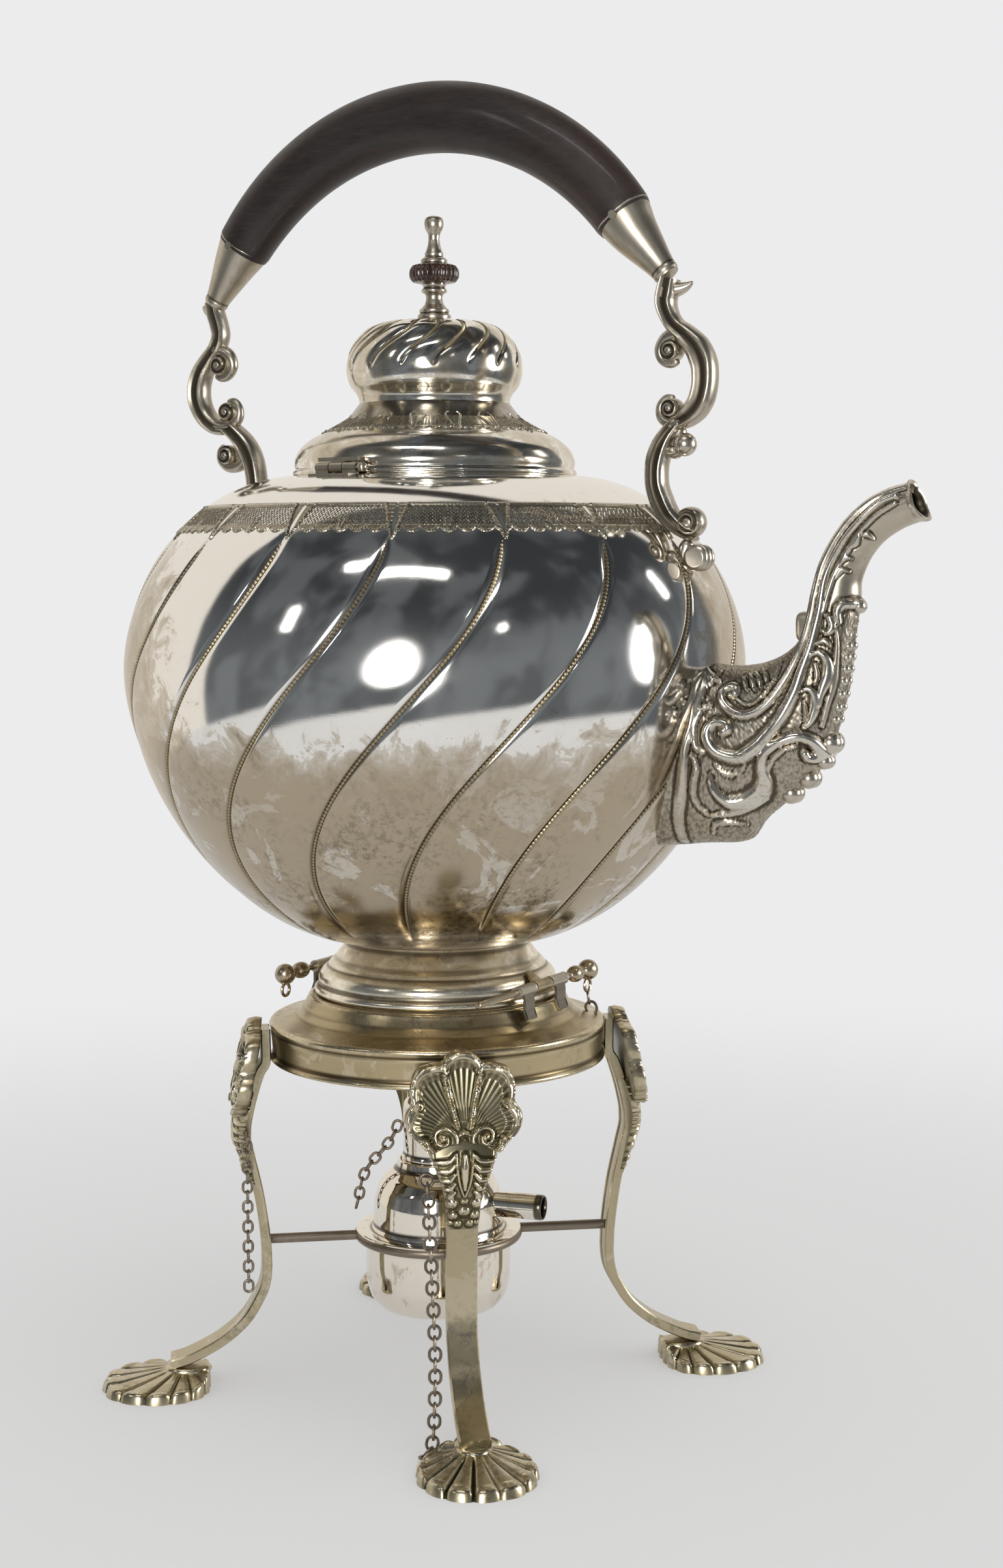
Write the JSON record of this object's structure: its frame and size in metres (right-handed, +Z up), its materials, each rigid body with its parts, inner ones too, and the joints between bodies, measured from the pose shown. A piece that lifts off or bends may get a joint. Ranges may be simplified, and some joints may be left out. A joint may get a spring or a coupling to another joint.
{
  "type": "tilting spirit kettle on stand",
  "caption": "Silver-plated tea kettle with arched wooden grip that tilts on pins over a spirit burner held in a stand with shell-mounted legs.",
  "frame": {"origin": "where the kettle's vertical axis meets the plane that the four feet stand on", "axes": "+X towards the spout, in the plane of the handle; +Z up; +Y to the left of the spout seen from behind the kettle"},
  "size_m": [0.2497, 0.187, 0.3938],
  "materials": {
    "silver_kettle": "silver plate, polished, warm tarnish in the hollows",
    "silver_cast": "cast silver plate, tarnished in the recesses",
    "silver_stand": "silver plate, worn and yellowed",
    "silver_burner": "silver plate, polished, stained",
    "brass_pin": "worn brass, satin",
    "wire_brown": "browned wire",
    "wood_grip": "dark stained hardwood, satin",
    "wood_disc": "brown turned wood",
    "wick_cotton": "woven cotton"
  },
  "bodies": {
    "stand": {"burner_arm_back": "wire_brown", "burner_arm_front": "wire_brown", "burner_arm_left": "wire_brown", "burner_arm_right": "wire_brown", "burner_ring": "wire_brown", "chain_eye_front": "wire_brown", "chain_eye_left": "wire_brown", "foot_back": "silver_stand", "foot_front": "silver_stand", "foot_left": "silver_stand", "foot_right": "silver_stand", "leg_back": "silver_stand", "leg_chain_front": "wire_brown", "leg_front": "silver_stand", "leg_left": "silver_stand", "leg_right": "silver_stand", "leg_shell_back": "silver_stand", "leg_shell_front": "silver_stand", "leg_shell_left": "silver_stand", "leg_shell_right": "silver_stand", "stand_hinge_front": "silver_stand", "stand_hinge_rear": "silver_stand", "stand_ring": "silver_stand"},
    "kettle": {"handle_bracket_front": "silver_cast", "handle_bracket_rear": "silver_cast", "handle_ferrule_front": "silver_cast", "handle_ferrule_rear": "silver_cast", "handle_grip": "wood_grip", "handle_rivets": "silver_cast", "kettle_body": "silver_kettle", "kettle_foot": "silver_kettle", "kettle_hinge_front": "silver_kettle", "kettle_hinge_rear": "silver_kettle", "lid_hinge_lower": "silver_kettle", "lid_hinge_pin": "silver_kettle", "spout": "silver_cast"},
    "lid": {"finial_disc": "wood_disc", "finial_nut": "silver_kettle", "finial_stem": "silver_kettle", "finial_top": "silver_kettle", "lid_hinge_upper": "silver_kettle", "lid_shell": "silver_kettle"},
    "front_pin": {"front_pin": "brass_pin"},
    "rear_pin": {"rear_pin": "brass_pin"},
    "burner": {"burner_reservoir": "silver_burner", "burner_dome": "silver_burner", "handle_socket": "silver_burner", "wick_tube": "silver_burner", "wick": "wick_cotton"},
    "snuffer": {"snuffer_cap": "silver_burner", "snuffer_chain": "wire_brown"},
    "left_chain": {"leg_chain_left": "wire_brown"}
  },
  "joints": [
    {"name": "kettle_tilt", "type": "hinge", "parent": "stand", "child": "kettle", "pos_m": [0.0385, 0, 0.1265], "axis": [0, 1, 0], "range_deg": [0, 45]},
    {"name": "lid_swing", "type": "hinge", "parent": "kettle", "child": "lid", "pos_m": [-0.00543, -0.04427, 0.2791], "axis": [0.9925, -0.1219, 0], "range_deg": [0, 105]},
    {"name": "front_pin_pull", "type": "slide", "parent": "stand", "child": "front_pin", "axis": [0, 1, 0], "range_m": [0, 0.046]},
    {"name": "rear_pin_pull", "type": "slide", "parent": "stand", "child": "rear_pin", "axis": [0, -1, 0], "range_m": [0, 0.046]},
    {"name": "burner_lift", "type": "slide", "parent": "stand", "child": "burner", "axis": [0, 0, 1], "range_m": [0, 0.02]},
    {"name": "snuffer_lift", "type": "slide", "parent": "burner", "child": "snuffer", "axis": [0, 0, 1], "range_m": [0, 0.02]},
    {"name": "left_chain_swing", "type": "hinge", "parent": "stand", "child": "left_chain", "pos_m": [-0.03931, -0.04584, 0.07738], "axis": [0.6225, -0.7826, 0], "range_deg": [-20, 20]}
  ]
}
